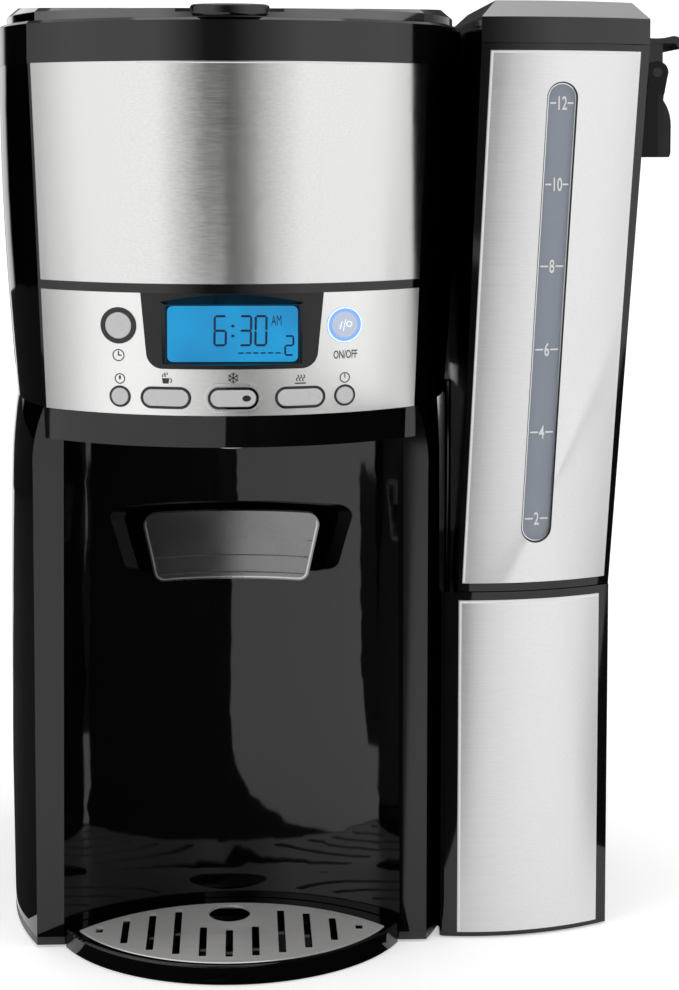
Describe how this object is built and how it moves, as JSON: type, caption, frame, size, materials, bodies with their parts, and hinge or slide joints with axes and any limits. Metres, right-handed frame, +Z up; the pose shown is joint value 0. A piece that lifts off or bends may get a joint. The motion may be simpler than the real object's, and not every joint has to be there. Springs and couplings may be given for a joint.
{
  "type": "coffee maker",
  "caption": "Coffee maker that brews into an inner tank and fills a mug through a push-bar dispenser, with buttons, a display, a drip tray and a lift-off water reservoir.",
  "frame": {"origin": "on the table under the middle of the machine's bounding box", "axes": "+Z up, -Y towards the front with the controls, +X to the user's right as they face it"},
  "size_m": [0.2919, 0.271, 0.388],
  "materials": {
    "black_shell": "gloss",
    "black_satin": "satin",
    "collar_gloss": "gloss",
    "lid_gloss": "gloss",
    "fascia_steel": "brushed",
    "panel_steel": "brushed",
    "cap_silver": "satin",
    "button_black": "gloss",
    "lamp_lens": "clear",
    "ring_light": "lit",
    "lcd_glass": "clear",
    "lcd_body": "lit",
    "circuit_board": "satin",
    "switch_metal": "satin",
    "foot_rubber": "matt",
    "grille_steel": "brushed",
    "screw_steel": "satin",
    "inner_plastic": "satin",
    "tank_plastic": "satin",
    "plate_aluminium": "satin",
    "deck_steel": "satin",
    "silicone": "matt",
    "seal_rubber": "matt",
    "valve_plastic": "satin",
    "reservoir_smoke": "satin",
    "gauge_glass": "clear"
  },
  "bodies": {
    "machine": {"lower_housing": "black_shell", "steel_fascia": "fascia_steel", "control_panel": "panel_steel", "head_housing": "black_shell", "collar": "collar_gloss", "display_bezel": "button_black", "display_window": "lcd_glass", "lcd_module": "lcd_body", "control_board": "circuit_board", "tact_switches": "switch_metal", "button_guides": "button_black", "power_ring": "ring_light", "base_plate": "black_satin", "rubber_feet": "foot_rubber", "rear_cover": "black_satin", "cord_gland": "seal_rubber", "housing_screws": "screw_steel", "brew_basket": "inner_plastic", "coffee_tank": "tank_plastic", "tank_lid": "inner_plastic", "heater_deck": "deck_steel", "warming_plate": "plate_aluminium", "heater_element": "plate_aluminium", "thermostat": "switch_metal", "inlet_tube": "silicone", "check_valve": "valve_plastic", "hot_water_tube": "silicone", "lid_hinge_pins": "screw_steel", "power_board": "circuit_board", "dispenser_pin": "screw_steel", "valve_block": "valve_plastic", "dispenser_spring": "screw_steel", "dock_panel": "fascia_steel", "dock_housing": "black_shell", "dock_seat": "seal_rubber"},
    "lid_body": {"lid": "lid_gloss", "lid_tab": "lid_gloss", "shower_head": "inner_plastic"},
    "dispenser": {"dispenser_bar": "button_black"},
    "plunger": {"valve_plunger": "seal_rubber"},
    "tray": {"drip_tray": "black_shell"},
    "grille": {"drip_grille": "grille_steel"},
    "reservoir": {"reservoir_tank": "reservoir_smoke", "reservoir_frame": "black_shell", "reservoir_panel": "fascia_steel", "gauge_window": "gauge_glass", "reservoir_valve": "valve_plastic", "valve_seal": "seal_rubber", "reservoir_grip": "black_shell", "reservoir_lid_pin": "screw_steel"},
    "reservoir_cap": {"reservoir_lid": "lid_gloss"},
    "program_button": {"program_button": "cap_silver"},
    "power_button": {"power_button": "cap_silver"},
    "hour_button": {"hour_button": "cap_silver"},
    "minute_button": {"minute_button": "cap_silver"},
    "brew_button": {"brew_button": "cap_silver"},
    "iced_button": {"iced_button": "cap_silver", "iced_lamp": "lamp_lens"},
    "warm_button": {"warm_button": "cap_silver"}
  },
  "joints": [
    {"name": "lid_hinge", "type": "hinge", "parent": "machine", "child": "lid_body", "pos_m": [-0.0468, 0.103, 0.381], "axis": [-1, 0, 0], "range_deg": [0, 88]},
    {"name": "dispenser_pivot", "type": "hinge", "parent": "machine", "child": "dispenser", "pos_m": [-0.0468, -0.045, 0.19], "axis": [1, 0, 0], "range_deg": [0, 7.5], "stiffness_Nm_per_rad": 0.4},
    {"name": "plunger_slide", "type": "slide", "parent": "machine", "child": "plunger", "axis": [0, -1, 0], "range_m": [0, 0.0042]},
    {"name": "tray_slide", "type": "slide", "parent": "machine", "child": "tray", "axis": [0, -1, 0], "range_m": [0, 0.07]},
    {"name": "grille_lift", "type": "slide", "parent": "tray", "child": "grille", "axis": [0, 0, 1], "range_m": [0, 0.04]},
    {"name": "reservoir_lift", "type": "slide", "parent": "machine", "child": "reservoir", "axis": [0.0431, -0.0454, 0.998], "range_m": [0, 0.15]},
    {"name": "reservoir_lid_hinge", "type": "hinge", "parent": "reservoir", "child": "reservoir_cap", "pos_m": [0.1347, -0.003, 0.3594], "axis": [0, 1, 0], "range_deg": [0, 85]},
    {"name": "program_press", "type": "slide", "parent": "machine", "child": "program_button", "axis": [0, 1, 0], "range_m": [0, 0.0012], "stiffness_N_per_m": 400},
    {"name": "power_press", "type": "slide", "parent": "machine", "child": "power_button", "axis": [0, 1, 0], "range_m": [0, 0.0012], "stiffness_N_per_m": 400},
    {"name": "hour_press", "type": "slide", "parent": "machine", "child": "hour_button", "axis": [0, 1, 0], "range_m": [0, 0.0012], "stiffness_N_per_m": 400},
    {"name": "minute_press", "type": "slide", "parent": "machine", "child": "minute_button", "axis": [0, 1, 0], "range_m": [0, 0.0012], "stiffness_N_per_m": 400},
    {"name": "brew_press", "type": "slide", "parent": "machine", "child": "brew_button", "axis": [0, 1, 0], "range_m": [0, 0.0012], "stiffness_N_per_m": 400},
    {"name": "iced_press", "type": "slide", "parent": "machine", "child": "iced_button", "axis": [0, 1, 0], "range_m": [0, 0.0012], "stiffness_N_per_m": 400},
    {"name": "warm_press", "type": "slide", "parent": "machine", "child": "warm_button", "axis": [0, 1, 0], "range_m": [0, 0.0012], "stiffness_N_per_m": 400}
  ],
  "couplings": [
    {"joint": "plunger_slide", "follows": "dispenser_pivot", "m_per_rad": 0.031}
  ]
}
